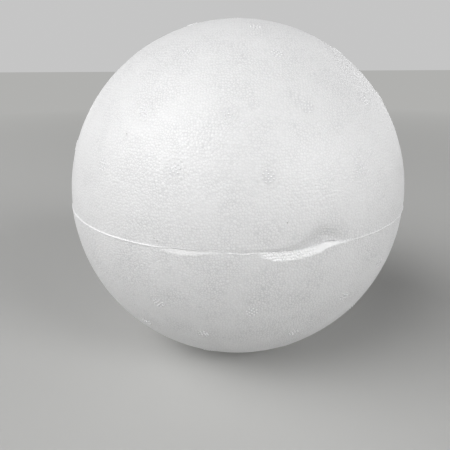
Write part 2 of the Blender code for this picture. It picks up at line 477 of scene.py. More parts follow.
class Form:
    """The ball's own form, from the sizes that the add-on holds."""

    # Shares of the dent's sizes, at degrees of longitude from its deepest point
    DENT_AT = (-36.0, -32.0, -24.0, -19.0, -15.0, -12.0, -8.0, -4.0, -1.0, 2.0, 4.0, 6.0, 9.0)
    UPPER_SHARE = (0.0, 0.03, 0.09, 0.14, 0.18, 0.23, 0.42, 0.66, 0.58, 0.42, 0.28, 0.14, 0.0)
    LOWER_SHARE = (0.0, 0.0, 0.0, 0.05, 0.55, 0.80, 0.92, 0.95, 0.96, 1.0, 0.78, 0.43, 0.0)
    ARCH_SHARE = (0.03, 0.03, 0.05, 0.06, 0.08, 0.12, 0.33, 0.80, 1.0, 0.82, 0.66, 0.50, 0.36)
    BEVEL_AT = (-19.0, -17.0, -15.5, -13.5, -10.5, -7.5, -4.5, -1.5, 2.0, 5.0, 9.0)
    BEVEL_SHARE = (0.35, 0.55, 0.70, 0.98, 0.92, 0.78, 0.64, 0.53, 0.28, 0.14, 0.09)

    # Shares of the seam's rise, at degrees of longitude; it sags a little beside the dent
    RISE_AT = (-20.5, -17.0, -13.5, -11.0, -8.0, -5.5, -3.0, 0.0, 2.2, 5.0, 8.0, 12.0, 15.0,
               17.5, 20.0, 22.0, 23.3, 24.5, 26.0, 28.0, 30.0, 33.0)
    RISE_SHARE = (0.0, 0.70, 0.75, 0.62, 0.62, 0.90, 0.10, -0.35, -0.55, -0.15, -0.10, -0.10,
                  -0.45, -0.72, -0.60, 0.02, 0.64, 1.06, 1.00, 0.74, 0.40, 0.0)

    # How far over and under the seam its rise is felt
    RISE_RUN = 14 * MM

    # Shares of the ledge's sizes, at degrees of longitude from its middle, and the least share
    # that its drop is worked out for
    LEDGE_AT = (-11.0, -8.0, -5.5, -3.5, -1.0, 1.5, 4.0, 7.5, 11.0)
    LEDGE_SHARE = (0.0, 0.35, 0.75, 1.0, 0.9, 0.70, 0.55, 0.35, 0.0)
    LEAST_LEDGE = 0.05

    # How far the fold spreads over a low arch and over a high one, and the heights of the arch
    # between which that changes
    FOLD_ABOVE = (1.9 * MM, 5.0 * MM)
    ABOVE_CHANGE = (1.0 * MM, 5.0 * MM)

    # How far the fold spreads past the foot of a low arch and under the top of a high one, and
    # the heights of the arch between which that changes
    FOLD_FOOT = 1.0 * MM
    FOLD_BELOW = 4.5 * MM
    BELOW_CHANGE = (5.0 * MM, 8.5 * MM)

    # The wide hollow round the dent
    HOLLOW = 0.9 * MM
    HOLLOW_RUN = 27 * MM
    HOLLOW_RISE = 19 * MM

    # The wrinkles start, are full, ease and end at these heights over the arch, and at these
    # degrees from the deepest point
    WRINKLE_BAND = (-5.5 * MM, -4.0 * MM, 2.5 * MM, 4.5 * MM)
    WRINKLE_SPAN = (-10.0, -4.5, 0.5, 4.0)

    # The top edge of the bevel is rounded off over this height, by this share of its depth
    TOP_EDGE = 0.7 * MM
    TOP_ROUNDING = 0.35

    # Stations on the flash between which the lower half's press gives way to the upper half's
    SHELF = (-0.6, 0.5)

    # Beads lie bare between these degrees from the deepest point, and these shares of the drop of
    # the bevel and of the ledge
    BARE_SPAN = (-18.5, -16.5, 1.5, 6.5)
    BARE_BEVEL = (-0.02, 0.03, 0.88, 1.05)
    BARE_LEDGE = (-0.1, 0.0, 0.5, 1.05)

    # The flash as a ridge across the seam, and the split as a notch across it, which has its full
    # depth from this share of its swell on
    RIDGE = 0.42 * MM
    SPLIT_MIDDLE = 0.10 * MM
    SPLIT_HALF = 0.42 * MM
    SPLIT_FULL = 0.5

    def __init__(self, settings):
        self.ball = settings.ball
        self.dent = settings.dent
        self.radius = self.ball.diameter / 2
        self.half_flash = self.ball.flash_thickness / 2

    def centre(self, side):
        """Centre of each half ball: side runs from 1 for the upper half to -1 for the lower."""
        side = np.asarray(side, dtype=float)
        shift = side * self.ball.mould_shift / 2
        return np.stack((shift, np.zeros_like(side), side * self.half_flash), axis=-1)

    def from_dent(self, longitude):
        """Degrees of longitude from the deepest point of the dent."""
        return np.degrees(along_seam(longitude, self.dent.longitude, 1.0))

    def from_arch(self, longitude, height):
        """How far a point lies over the fold that bounds the dent."""
        share = smooth_curve(self.from_dent(longitude), self.DENT_AT, self.ARCH_SHARE)
        return height - self.dent.arch_height * share

    def bevel_drop(self, longitude):
        """How far under the seam the bevel reaches."""
        share = smooth_curve(self.from_dent(longitude), self.BEVEL_AT, self.BEVEL_SHARE)
        return self.dent.bevel_drop * share

    def ledge_share(self, longitude):
        """Share of the ledge's depth and drop."""
        degrees = np.degrees(along_seam(longitude, self.dent.ledge_longitude, 1.0))
        return smooth_curve(degrees, self.LEDGE_AT, self.LEDGE_SHARE)

    def ledge_drop(self, share):
        """How far under the seam the ledge reaches for a share of it, and never nothing, because
        heights are divided by it."""
        return self.dent.ledge_drop * np.maximum(share, self.LEAST_LEDGE)

    def upper_press(self, longitude, height):
        """How deep the upper half is pressed in: its depth at the seam, kept up to the fold and
        eased out over it, where the fold reaches down to the seam under a low arch, and a wide
        shallow hollow, a swell along times a swell upwards."""
        share = smooth_curve(self.from_dent(longitude), self.DENT_AT, self.UPPER_SHARE)
        over = self.from_arch(longitude, height)
        arch = height - over
        low, high = self.FOLD_ABOVE
        above = low + (high - low) * step_up(arch, *self.ABOVE_CHANGE)
        below = arch + self.FOLD_FOOT
        below = below + (self.FOLD_BELOW - below) * step_up(arch, *self.BELOW_CHANGE)
        fold = 1 - step_up(over, -below, above)
        away = along_seam(longitude, self.dent.longitude, self.radius)
        hollow = self.HOLLOW * swell(away, self.HOLLOW_RUN) * swell(height, self.HOLLOW_RISE)
        return self.dent.upper_depth * share * fold + hollow

    def lower_press(self, longitude, height):
        """How deep the lower half is pressed in: a flat bevel from its depth at the seam to
        nothing at its lower edge, rounded off along its top, and a shorter one on the left."""
        share = smooth_curve(self.from_dent(longitude), self.DENT_AT, self.LOWER_SHARE)
        slope = np.clip(1 + height / self.bevel_drop(longitude), 0.0, 1.0)
        rounding = self.TOP_ROUNDING * (1 - step_up(-height, 0.0, self.TOP_EDGE))
        bevel = self.dent.lower_depth * share * (slope + rounding)
        share = self.ledge_share(longitude)
        slope = np.clip(1 + height / self.ledge_drop(share), 0.0, 1.0)
        return bevel + self.dent.ledge_depth * share * slope

    def press(self, longitude, height, side):
        """The press of the upper half for side 1, of the lower half for side -1, and between
        them over the flash, where the lower half's top lies open as a narrow shelf."""
        upper = self.upper_press(longitude, np.maximum(height, 0.0))
        lower = self.lower_press(longitude, np.minimum(height, 0.0))
        return lower + (upper - lower) * step_up(side, *self.SHELF)

    def rise(self, longitude, height):
        """How far points near the seam are pushed up: a smooth curve along it, times a swell
        upwards."""
        share = smooth_curve(np.degrees(longitude), self.RISE_AT, self.RISE_SHARE)
        return self.dent.seam_rise * share * swell(height, self.RISE_RUN)

    def wrinkles(self, longitude, height):
        """Folds of the skin along the arch: a cosine of the distance from it, kept to a band
        about it and to a span of longitudes."""
        over = self.from_arch(longitude, height)
        band = between(over, *self.WRINKLE_BAND)
        span = between(self.from_dent(longitude), *self.WRINKLE_SPAN)
        fold = np.cos(FULL_TURN * over / self.dent.wrinkle_pitch)
        return np.where(height > 0, self.dent.wrinkle_height * band * span * fold, 0.0)

    def split(self, longitude, height):
        """Depth of the split: a swell along the seam times a narrow swell across it."""
        away = along_seam(longitude, self.dent.split_longitude, self.radius)
        across = swell(height - self.SPLIT_MIDDLE, self.SPLIT_HALF)
        along = step_up(swell(away, self.dent.split_run), 0.0, self.SPLIT_FULL)
        return self.dent.split_depth * along * across

    def flash(self, longitude, height):
        """How far the flash stands out: its reach times its strength, times a flat-topped bell
        across the seam."""
        bell = np.exp(-((height / self.RIDGE) ** 4))
        return self.ball.flash_reach * flash_strength(longitude) * bell

    def surface(self, latitude, longitude, station):
        """Points of the skin. Each is the centre of its half, or a centre between the two for a
        station on the flash, plus the radius and the lift of that point along its direction, and
        is then pushed up by the rise."""
        out = direction(latitude, longitude)
        side = np.broadcast_to(station, out.shape[:-1])
        base = self.centre(side) + out * self.radius
        height = base[..., 2]
        lift = waves(base) + self.wrinkles(longitude, height)
        lift += self.flash(longitude, height) - self.press(longitude, height, side)
        lift -= self.split(longitude, height)
        points = base + out * lift[..., None]
        points[..., 2] += self.rise(longitude, height)
        return points

    def bare(self, longitude, height):
        """How far the beads lie bare, from 0 to 1: 1 on the bevel and on the deepest ledge."""
        span = between(self.from_dent(longitude), *self.BARE_SPAN)
        depth = -height / self.bevel_drop(longitude)
        bevel = span * between(depth, *self.BARE_BEVEL)
        share = self.ledge_share(longitude)
        depth = -height / self.ledge_drop(share)
        ledge = share * between(depth, *self.BARE_LEDGE)
        return np.clip(bevel + ledge, 0.0, 1.0)


def studs_mesh(name, profile, foot, up, sides, spin, size):
    """Many round studs in one closed mesh. A stud's profile is a list of distances from its axis
    and heights over its foot, from the top down; the first and last lie on the axis. Each
    ring's points are the foot, plus the height along up, plus the distance along two
    directions square to up, turned by the spin, all times the stud's size."""
    profile = np.asarray(profile, dtype=float)
    circle = circles(up, spin, sides)
    rings = profile[1:-1]
    across = size[:, None, None, None] * rings[None, :, None, 0, None]
    height = size[:, None, None, None] * rings[None, :, None, 1, None]
    points = foot[:, None, None] + height * up[:, None, None] + across * circle[:, None]
    top = foot + profile[0, 1] * size[:, None] * up
    bottom = foot + profile[-1, 1] * size[:, None] * up
    return rings_mesh(name, top, points, bottom)


def rings_mesh(name, top, rings, bottom):
    """One or more closed round shapes in one mesh: for each, a top point, rings of points that run
    anticlockwise as seen from above, and a bottom point, with quads between two rings and a fan
    of triangles at each end."""
    shapes, count, sides = rings.shape[:3]
    each = 2 + count * sides
    points = np.concatenate(
        (top[:, None], rings.reshape(shapes, -1, 3), bottom[:, None]), axis=1
    ).reshape(-1, 3)
    start = (np.arange(shapes) * each)[:, None]
    here = 1 + np.arange(count * sides).reshape(count, sides)
    east = np.roll(here, -1, axis=1)
    quads = np.stack((here[:-1], here[1:], east[1:], east[:-1]), axis=-1).reshape(-1, 4)
    upper = np.stack((np.zeros(sides, dtype=int), here[0], east[0]), axis=-1)
    lower = np.stack((np.full(sides, each - 1), east[-1], here[-1]), axis=-1)
    quads = (start[:, :, None] + quads[None]).reshape(-1, 4)
    fans = (start[:, :, None] + np.concatenate((upper, lower))[None]).reshape(-1, 3)
    mesh = bpy.data.meshes.new(name)
    mesh.from_pydata(points, [], quads.tolist() + fans.tolist())
    mesh.shade_smooth()
    return mesh


def square_to(up, spin):
    """Two unit vectors square to each up vector and to each other, turned about it by spin."""
    level = np.where(np.abs(up[:, 2:3]) > 0.999, (0.0, 1.0, 0.0), (0.0, 0.0, 1.0))
    east = np.cross(level, up)
    east /= np.linalg.norm(east, axis=1)[:, None]
    north = np.cross(up, east)
    turn = np.asarray(spin)[:, None]
    aside = np.cos(turn) * east + np.sin(turn) * north
    return aside, np.cross(up, aside)


def corner_angles(sides):
    """Angles of a ring's corners, in even steps from 0."""
    return np.arange(sides) * FULL_TURN / sides


def circles(up, spin, sides):
    """Unit vectors to the corners of a ring about each up vector: the cosine of a corner's angle
    times one direction square to up, plus its sine times the other."""
    aside, ahead = square_to(up, spin)
    angle = corner_angles(sides)[:, None]
    return np.cos(angle) * aside[:, None] + np.sin(angle) * ahead[:, None]


def keep_shares(mesh, name, shares):
    """Keep a share from 0 to 1 for each point of a mesh, which its material reads by that name."""
    layer = mesh.attributes.new(name, "FLOAT", "POINT")
    layer.data.foreach_set("value", shares)


def vent_places():
    """Latitude, longitude and turn of every vent, in radians: those on the front as they stand,
    and the others of each ring spread evenly over its far side, each turned at random."""
    random = np.random.default_rng(VENT_SEED)
    places = []
    for ring in VENT_RINGS:
        places.extend(ring.front)
        start, end = ring.arc
        for place in range(ring.behind):
            longitude = start + (end - start) * (place + 0.5) / ring.behind
            places.append((ring.latitude, longitude, random.uniform(0.0, 90.0)))
    return np.radians(np.array(places)).T


def new_piece(name, mesh, material):
    """Put a mesh in the scene as a piece that rides on the ball."""
    mesh.materials.append(material)
    piece = bpy.data.objects.new(name, mesh)
    bpy.context.scene.collection.objects.link(piece)
    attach(piece, BODY)
    return piece


class Nodes:
    """A material's node tree, with short calls to add nodes to it."""

    def __init__(self, name):
        self.material = bpy.data.materials.new(name)
        self.material.use_nodes = True
        self.tree = self.material.node_tree
        self.shader = self.tree.nodes["Principled BSDF"]
        self.place = self.tree.nodes.new("ShaderNodeTexCoord").outputs["Object"]

    def add(self, kind, values=None, **settings):
        """A new node, with settings for its properties and values for its inputs."""
        node = self.tree.nodes.new(kind)
        for key, value in settings.items():
            setattr(node, key, value)
        for key, value in (values or {}).items():
            node.inputs[key].default_value = value
        return node

    def join(self, output, socket):
        """Link an output to an input."""
        self.tree.links.new(output, socket)

    def pattern(self, kind, values, **settings):
        """A texture node that is laid out in the piece's own space."""
        node = self.add(kind, values, **settings)
        self.join(self.place, node.inputs["Vector"])
        return node

    def share(self, name):
        """The share that the mesh keeps by that name."""
        return self.add("ShaderNodeAttribute", attribute_name=name).outputs["Fac"]

    def fit(self, output, low, high, new_low, new_high):
        """A Map Range node from one span to another, held to its ends; returns its result."""
        values = {"From Min": low, "From Max": high, "To Min": new_low, "To Max": new_high}
        node = self.add("ShaderNodeMapRange", values)
        self.join(output, node.inputs["Value"])
        return node.outputs["Result"]

    def sums(self, operation, first, second=0.0):
        """A Math node; each operand is an output or a number."""
        node = self.add("ShaderNodeMath", operation=operation)
        for place, operand in enumerate((first, second)):
            if isinstance(operand, (int, float)):
                node.inputs[place].default_value = operand
            else:
                self.join(operand, node.inputs[place])
        return node.outputs[0]

    def blend(self, share, first, second):
        """A colour between two colours; each is an output or a colour."""
        node = self.add("ShaderNodeMix", data_type="RGBA")
        self.join(share, node.inputs["Factor"])
        for name, colour in (("A", first), ("B", second)):
            socket = next(s for s in node.inputs if s.name == name and s.type == "RGBA")
            if isinstance(colour, (tuple, list)):
                socket.default_value = colour
            else:
                self.join(colour, socket)
        return next(s for s in node.outputs if s.type == "RGBA")


def opaque(colour):
    """A colour with full alpha."""
    return (colour[0], colour[1], colour[2], 1.0)


def foam_material(look):
    """Moulded foam: beads pressed into cells that share thin grooves, with painted shade in the
    grooves. Each cell is a low dome that leans its own way. In a belt over the seam the beads are
    pressed flatter and the painted groove shade is weaker. Where the attribute called bare is 1
    they are whiter and have no gloss. Where the one called even is 1, on a vent's pad, the foam is
    painted darker as shade between the pips, and is glossier and almost smooth."""
    nodes = Nodes("moulded_skin")
    shader = nodes.shader
    cells = {"Scale": SLICED_CELL / look.bead_size, "Randomness": BEAD_STRAY}
    bead = nodes.pattern("ShaderNodeTexVoronoi", cells, feature="F1")
    edge = nodes.pattern("ShaderNodeTexVoronoi", cells, feature="DISTANCE_TO_EDGE")
    cloud = nodes.pattern("ShaderNodeTexNoise", CLOUD)
    bare = nodes.share("bare")
    even = nodes.share("even")
    height = nodes.add("ShaderNodeSeparateXYZ")
    nodes.join(nodes.place, height.inputs[0])
    from_belt = nodes.sums("SUBTRACT", height.outputs["Z"], BELT_HEIGHT)
    pressed = nodes.fit(nodes.sums("ABSOLUTE", from_belt), *BELT_EDGE, BELT_SHARE, 1.0)
    relief_share = nodes.sums("MULTIPLY", nodes.fit(even, 0.0, 1.0, 1.0, PAD_RELIEF), pressed)
    rim = nodes.fit(edge.outputs["Distance"], 0.0, RIM_WIDTH, 0.0, 1.0)

    # Painted shade: along each cell's edge the skin is darkened towards the groove colour, as
    # shade in the grooves; a cloud varies how much, and the belt weakens it
    shade_share = nodes.fit(cloud.outputs["Fac"], *CLOUD_SPAN, LEAST_GROOVE_SHADE, 1.0)
    shade_share = nodes.sums("MULTIPLY", shade_share, pressed)
    groove_shade = nodes.sums("MULTIPLY", nodes.sums("SUBTRACT", 1.0, rim), shade_share)
    colour = nodes.blend(groove_shade, opaque(look.skin_colour), opaque(look.groove_shade_and_speck_grey))
    # Painted shade: on a vent's pad the foam is darkened, for the shade between the pips
    colour = nodes.blend(even, colour, opaque(look.pad_shade_colour))
    colour = nodes.blend(bare, colour, opaque(look.bare_colour))
    nodes.join(colour, shader.inputs["Base Color"])

    glossiest, dullest = (look.roughness + spread for spread in GLOSS_SPREAD)
    gloss = nodes.fit(bead.outputs["Color"], 0.0, 1.0, glossiest, dullest)
    gloss = nodes.sums("ADD", gloss, nodes.sums("MULTIPLY", bare, BARE_ROUGHER))
    gloss = nodes.sums("SUBTRACT", gloss, nodes.sums("MULTIPLY", even, PAD_SMOOTHER))
    nodes.join(gloss, shader.inputs["Roughness"])

    reach = bead.outputs["Distance"]
    dome = nodes.fit(nodes.sums("MULTIPLY", reach, reach), 0.0, DOME_FOOT, 1.0, 0.0)
    relief = nodes.sums("ADD", dome, nodes.sums("MULTIPLY", rim, RIM_RELIEF))
    relief = nodes.sums("MULTIPLY", relief, relief_share)
    bump = nodes.add("ShaderNodeBump", {"Strength": 1.0, "Distance": look.relief})
    nodes.join(relief, bump.inputs["Height"])
    nodes.join(leaning_faces(nodes, bead.outputs["Color"], look.tilt), bump.inputs["Normal"])
    nodes.join(bump.outputs["Normal"], shader.inputs["Normal"])

    shader.inputs["Subsurface Weight"].default_value = GLOW_SHARE
    shader.inputs["Subsurface Radius"].default_value = (1.0, 1.0, 1.0)
    shader.inputs["Subsurface Scale"].default_value = GLOW_DEPTH
    return nodes.material


def leaning_faces(nodes, random_colour, tilt):
    """The surface's normal, leaned by a random vector for each bead."""
    middle = nodes.add("ShaderNodeVectorMath", operation="SUBTRACT")
    middle.inputs[1].default_value = (0.5, 0.5, 0.5)
    nodes.join(random_colour, middle.inputs[0])
    lean = nodes.add("ShaderNodeVectorMath", {"Scale": tilt}, operation="SCALE")
    nodes.join(middle.outputs[0], lean.inputs[0])
    total = nodes.add("ShaderNodeVectorMath", operation="ADD")
    nodes.join(nodes.add("ShaderNodeNewGeometry").outputs["Normal"], total.inputs[0])
    nodes.join(lean.outputs[0], total.inputs[1])
    unit = nodes.add("ShaderNodeVectorMath", operation="NORMALIZE")
    nodes.join(total.outputs[0], unit.inputs[0])
    return unit.outputs[0]


def grainy(name, grain, first, second):
    """Nodes of a matt material that a fine grain blends from one colour towards another, and the
    output of the grain."""
    nodes = Nodes(name)
    noise = nodes.pattern("ShaderNodeTexNoise", {"Scale": grain.scale, "Detail": grain.detail})
    value = noise.outputs["Fac"]
    shade = nodes.fit(value, *GRAIN_SPAN, 0.0, grain.most)
    colour = nodes.blend(shade, opaque(first), opaque(second))
    nodes.join(colour, nodes.shader.inputs["Base Color"])
    nodes.shader.inputs["Roughness"].default_value = grain.roughness
    return nodes, value


def bare_bead_material(look):
    """Beads without a skin: matt white, with a fine grain that also roughens them."""
    nodes, value = grainy("bare_bead", BEAD_GRAIN, look.bare_colour, look.skin_colour)
    bump = nodes.add("ShaderNodeBump", BEAD_GRAIN_RELIEF)
    nodes.join(value, bump.inputs["Height"])
    nodes.join(bump.outputs["Normal"], nodes.shader.inputs["Normal"])
    return nodes.material


def speck_material(look):
    """A crumb of grey dust, unevenly dark."""
    # The specks' grain turns towards the grey that also paints the shade in the grooves
    return grainy("grey_speck", SPECK_GRAIN, look.speck_colour, look.groove_shade_and_speck_grey)[0].material


def shared_material(make, name, look):
    """The material of that name, made the first time that it is asked for."""
    return bpy.data.materials.get(name) or make(look)


class FOAMBALL_OT_skin(Operator):
    """Make the ball's skin with its seam, its flash and its dent"""

    bl_idname = "foamball.skin"
    bl_label = "Skin"

    # Degrees from the front over which the columns lie closer, degrees of longitude round the
    # dent between which they lie closer still, and how much weight each adds
    FRONT_SPAN = (80.0, 100.0)
    DENT_SPAN = (0.0, 3.0, 35.0, 38.0)
    FRONT_WEIGHT = 1
    DENT_WEIGHT = 3

    # The same for the rows of each half: degrees from the seam over which the extra weight of
    # the dent or the slump ends, those over which the seam's ends, and how much each adds
    UPPER_SPAN = (6.0, 8.0)
    LOWER_SPAN = (3.4, 4.5)
    SEAM_SPAN = (0.4, 1.0)
    UPPER_WEIGHTS = (13, 10)
    LOWER_WEIGHTS = (9, 12)

    def column_weight(self, longitude):
        """1 behind, and more on the front and round the dent."""
        degrees = np.degrees(longitude)
        front = 1 - step_up(np.abs(degrees), *self.FRONT_SPAN)
        dent = between(degrees, *self.DENT_SPAN)
        return 1 + self.FRONT_WEIGHT * front + self.DENT_WEIGHT * dent

    def half_rows(self, start, end, span, weights):
        """Latitudes of the rows of one half: the weight is 1 over most of it, and more as far as
        the dent or the slump reaches, and more again at the seam."""
        wide, narrow = weights

        def weight(latitude):
            degrees = np.degrees(np.abs(latitude))
            at_dent = 1 - step_up(degrees, *span)
            at_seam = 1 - step_up(degrees, *self.SEAM_SPAN)
            return 1 + wide * at_dent + narrow * at_seam

        return graded(start, end, HALF_ROWS, weight)

    def execute(self, context):
        settings = context.scene.foamball
        form = Form(settings)
        longitude = graded(-math.pi, math.pi, SKIN_COLUMNS + 1, self.column_weight)[:-1]
        quarter = math.pi / 2
        upper = self.half_rows(quarter, 0.0, self.UPPER_SPAN, self.UPPER_WEIGHTS)[1:]
        lower = self.half_rows(0.0, -quarter, self.LOWER_SPAN, self.LOWER_WEIGHTS)[:-1]
        middle = np.zeros(FLASH_ROWS - 2)
        latitude = np.concatenate((upper, middle, lower))
        station = np.concatenate(
            (np.ones(len(upper)), np.linspace(1, -1, FLASH_ROWS)[1:-1], -np.ones(len(lower)))
        )
        rows = form.surface(latitude[:, None], longitude[None], station[:, None])
        top = form.surface(np.array(quarter), np.array(0.0), np.array(1.0))
        bottom = form.surface(np.array(-quarter), np.array(0.0), np.array(-1.0))
        mesh = rings_mesh("ball_skin", top[None], rows[None], bottom[None])
        level = form.radius * np.sin(latitude) + station * form.half_flash
        bare = form.bare(*np.broadcast_arrays(longitude[None], level[:, None]))
        keep_shares(mesh, "bare", np.concatenate(([0.0], bare.ravel(), [0.0])))
        material = shared_material(foam_material, "moulded_skin", settings.foam)
        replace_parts(new_piece("ball_skin", mesh, material), NODE)
        return {"FINISHED"}


class FOAMBALL_OT_vent_marks(Operator):
    """Make the pad, the collar and the pips that each steam vent leaves on the skin"""

    bl_idname = "foamball.vent_marks"
    bl_label = "Vent marks"

    # The net of a pad, and how much closer its rings lie at the collar
    PAD_RINGS = 22
    PAD_SIDES = 44
    COLLAR_WEIGHT = 3

    # Half the width of the slope at the edge of a pad's top, the collar's width, half the share
    # of it that fades on one side, the margin past it, and how far the pad lies over the skin
    PAD_EDGE = 0.6 * MM
    COLLAR_WIDTH = 0.34 * MM
    COLLAR_FADE = 0.4
    MARGIN = 1.0 * MM
    CLEAR = 0.012 * MM

    # How deep the rim of a pad sinks into the skin, over this share of the margin
    SINK = 0.35 * MM
    SINK_SHARE = 0.4

    # A pip's corners, the distance and height of each ring as shares of its size, the range of
    # sizes, how far one strays, and how many stand on the outer and on the inner circle
    PIP_SIDES = 8
    PIP_PROFILE = ((0.0, 1.0), (0.45, 0.86), (0.8, 0.5), (1.0, 0.0), (0.0, -0.5))
    PIP_SIZES = (0.78, 1.0)
    PIP_STRAY = 0.07 * MM
    PIP_COUNTS = (8, 4)

    def ring_distances(self, vent):
        """Distances from the middle of a pad to its rings, closer together at the collar."""
        middle = vent.collar_diameter / 2

        def weight(distance):
            across = (distance - middle) / (2 * self.COLLAR_WIDTH)
            return 1 + self.COLLAR_WEIGHT * np.exp(-(across ** 2))

        return graded(0.0, middle + self.MARGIN, self.PAD_RINGS + 1, weight)

    def flat_top(self, vent, distance):
        """1 on a pad's flat top and 0 past its sloping edge."""
        edge = vent.pad_diameter / 2
        return 1 - step_up(distance, edge - self.PAD_EDGE, edge + self.PAD_EDGE)

    def pad_lift(self, vent, distance, angle, weak):
        """Height of a pad over the skin: a low flat top with a sloping edge, then the collar, a
        narrow bell across that fades towards the side called weak, and a rim sunk in the skin."""
        across = (distance - vent.collar_diameter / 2) / self.COLLAR_WIDTH
        strength = 1 - self.COLLAR_FADE - self.COLLAR_FADE * np.cos(angle - weak)
        collar = vent.collar_rise * np.exp(-(across ** 2)) * strength
        reach = vent.collar_diameter / 2 + self.MARGIN
        rim = self.SINK * step_up(distance, reach - self.SINK_SHARE * self.MARGIN, reach)
        return vent.pad_rise * self.flat_top(vent, distance) + collar + self.CLEAR - rim

    @staticmethod
    def skin_points(form, side, ray, lift):
        """Points over the skin along rays from the middle of their half of the ball."""
        out = ray / np.linalg.norm(ray, axis=-1)[..., None]
        base = form.centre(side) + out * form.radius
        return base + out * (waves(base) + lift)[..., None]

    def make_pads(self, form, vent, up, turn, side, weak):
        """The pads: each ring's points lie round the vent's axis, laid on the ball."""
        distance = self.ring_distances(vent)[1:]
        circle = circles(up, turn, self.PAD_SIDES)
        ray = form.radius * up[:, None, None] + distance[:, None, None] * circle[:, None]
        angle = corner_angles(self.PAD_SIDES)
        lift = self.pad_lift(vent, distance[:, None], angle, weak[:, None, None])
        half = np.broadcast_to(side[:, None, None], lift.shape)
        rings = self.skin_points(form, half, ray, lift)
        top = self.skin_points(form, side, up, np.full(len(up), vent.pad_rise + self.CLEAR))
        bottom = self.skin_points(form, side, up, np.full(len(up), -2 * self.SINK))
        mesh = rings_mesh("vent_pads", top, rings, bottom)
        # Where even is 1 the material darkens the pad as painted shade between the pips, and makes
        # it glossier and smoother
        even = np.repeat(self.flat_top(vent, distance), self.PAD_SIDES)
        keep_shares(mesh, "even", np.tile(np.concatenate(([1.0], even, [0.0])), len(up)))
        return mesh

    def make_pips(self, form, vent, up, turn, side, random):
        """The pips: stubs with a round top on an outer circle and on an inner one, turned by half
        a step of the outer, each a little off its place and of its own size."""
        outer, inner = self.PIP_COUNTS
        half_step = FULL_TURN / outer / 2
        angle = np.concatenate((corner_angles(outer), half_step + corner_angles(inner)))
        across = np.repeat((vent.outer_circle / 2, vent.inner_circle / 2), self.PIP_COUNTS)
        place = np.stack((across * np.cos(angle), across * np.sin(angle)), axis=-1)
        place = place + random.normal(0.0, self.PIP_STRAY, size=(len(up), *place.shape))
        aside, ahead = square_to(up, turn)
        ray = form.radius * up[:, None] + place[..., :1] * aside[:, None]
        ray = (ray + place[..., 1:] * ahead[:, None]).reshape(-1, 3)
        half = np.repeat(side, len(angle))
        foot = self.skin_points(form, half, ray, np.full(len(ray), vent.pad_rise))
        out = ray / np.linalg.norm(ray, axis=1)[:, None]
        profile = [
            (vent.pip_diameter / 2 * across, vent.pip_rise * height)
            for across, height in self.PIP_PROFILE
        ]
        size = random.uniform(*self.PIP_SIZES, size=len(ray))
        return studs_mesh("vent_pips", profile, foot, out, self.PIP_SIDES, size, size)

    def execute(self, context):
        settings = context.scene.foamball
        form = Form(settings)
        vent = settings.vent
        latitude, longitude, turn = vent_places()
        up = direction(latitude, longitude)
        side = np.where(latitude > 0, 1.0, -1.0)
        random = np.random.default_rng(VENT_SEED)
        weak = random.uniform(0.0, FULL_TURN, size=len(up))
        material = shared_material(foam_material, "moulded_skin", settings.foam)
        new_piece("vent_pads", self.make_pads(form, vent, up, turn, side, weak), material)
        matt = shared_material(bare_bead_material, "bare_bead", settings.foam)
        new_piece("vent_pips", self.make_pips(form, vent, up, turn, side, random), matt)
        return {"FINISHED"}


class FOAMBALL_OT_edge_beads(Operator):
    """Make the half bare beads that show along the slumped edges under the seam"""

    bl_idname = "foamball.edge_beads"
    bl_label = "Edge beads"

    # The pitch of the beads, the longitudes between which they lie, how far under the seam they
    # reach, how far one strays as a share of the pitch, and how bare its place has to be
    SEED = 23
    PITCH = 1.75 * MM
    SPAN = (math.radians(3.0), math.radians(21.0))
    LOWEST = 8 * MM
    STRAY = 0.22
    BARE_ENOUGH = 0.6

    # Radii, how far a bead stands proud, how far its foot lies under the surface, and its net
    RADII = (0.95 * MM, 1.25 * MM)
    PROUD = (0.25 * MM, 0.55 * MM)
    ROOT = 0.3 * MM
    SIDES = 10
    RINGS = 5

    # A step to the side, by which the surface's own direction is worked out
    NUDGE = 0.6 * MM

    def execute(self, context):
        settings = context.scene.foamball
        form = Form(settings)
        random = np.random.default_rng(self.SEED)
        step = self.PITCH / form.radius
        row = self.PITCH * math.sqrt(3) / 2
        longitude, height = np.meshgrid(
            np.arange(*self.SPAN, step), -np.arange(0.5 * row, self.LOWEST, row)
        )
        longitude = longitude + step / 2 * (np.arange(len(longitude)) % 2)[:, None]
        longitude = longitude + random.uniform(-self.STRAY, self.STRAY, longitude.shape) * step
        height = height + random.uniform(-self.STRAY, self.STRAY, height.shape) * row
        kept = form.bare(longitude, height) > self.BARE_ENOUGH
        longitude, height = longitude[kept], height[kept]
        latitude = np.arcsin((height + form.half_flash) / form.radius)
        latitude = np.minimum(latitude, 0.0)
        side = -np.ones(len(latitude))
        here = form.surface(latitude, longitude, side)
        nudge = self.NUDGE / form.radius
        east = form.surface(latitude, longitude + nudge, side)
        south = form.surface(latitude - nudge, longitude, side)
        up = np.cross(south - here, east - here)
        up /= np.linalg.norm(up, axis=1)[:, None]
        radius = random.uniform(*self.RADII, size=len(up))
        proud = random.uniform(*self.PROUD, size=len(up))
        mesh = self.beads(here, up, radius, proud)
        material = shared_material(bare_bead_material, "bare_bead", settings.foam)
        new_piece("edge_beads", mesh, material)
        return {"FINISHED"}

    def beads(self, here, up, radius, proud):
        """Closed domes: each is part of a sphere that stands proud of the surface by its own
        height and is cut off a little under the surface."""
        share = np.linspace(0.0, 1.0, self.RINGS + 1)[1:]
        middle = here + up * (proud - radius)[:, None]
        reach = np.arccos(np.clip((radius - proud - self.ROOT) / radius, -1.0, 1.0))
        angle = reach[:, None] * share[None]
        circle = circles(up, np.zeros(len(up)), self.SIDES)
        level = (radius[:, None] * np.cos(angle))[..., None, None] * up[:, None, None]
        across = (radius[:, None] * np.sin(angle))[..., None, None] * circle[:, None]
        rings = middle[:, None, None] + level + across
        top = middle + up * radius[:, None]
        bottom = middle + up * (radius * np.cos(reach))[:, None]
        return rings_mesh("edge_beads", top, rings, bottom)


